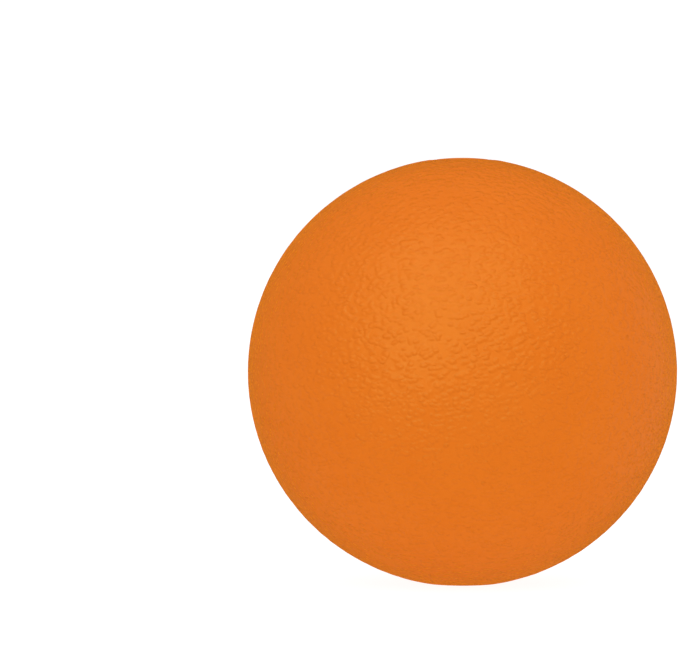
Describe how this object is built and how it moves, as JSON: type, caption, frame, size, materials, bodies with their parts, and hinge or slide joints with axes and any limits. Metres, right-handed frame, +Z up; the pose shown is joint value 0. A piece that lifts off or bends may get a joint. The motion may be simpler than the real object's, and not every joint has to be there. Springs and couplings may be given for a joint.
{
  "type": "hand therapy ball",
  "caption": "Round soft ball with a pebbled rubber skin and a set gel filling, squeezed in the hand to exercise the fingers.",
  "frame": {"origin": "middle of the flat patch that the ball rests on", "axes": "+Z up through the stopper at the top of the ball; the ball is round about Z, so X and Y are free, and the moulding's parting line lies in the XZ plane"},
  "size_m": [0.065, 0.065, 0.0645],
  "materials": {
    "skin_rubber": "satin",
    "stopper_rubber": "satin",
    "gel": "gloss"
  },
  "bodies": {
    "ball": {"outer_skin": "skin_rubber", "gel_core": "gel"},
    "top_pole": {"fill_plug": "stopper_rubber"}
  },
  "joints": [
    {"name": "squeeze", "type": "slide", "parent": "ball", "child": "top_pole", "axis": [0, 0, -1], "range_m": [0, 0.02], "stiffness_N_per_m": 1500, "deforming": ["outer_skin", "gel_core"]}
  ]
}
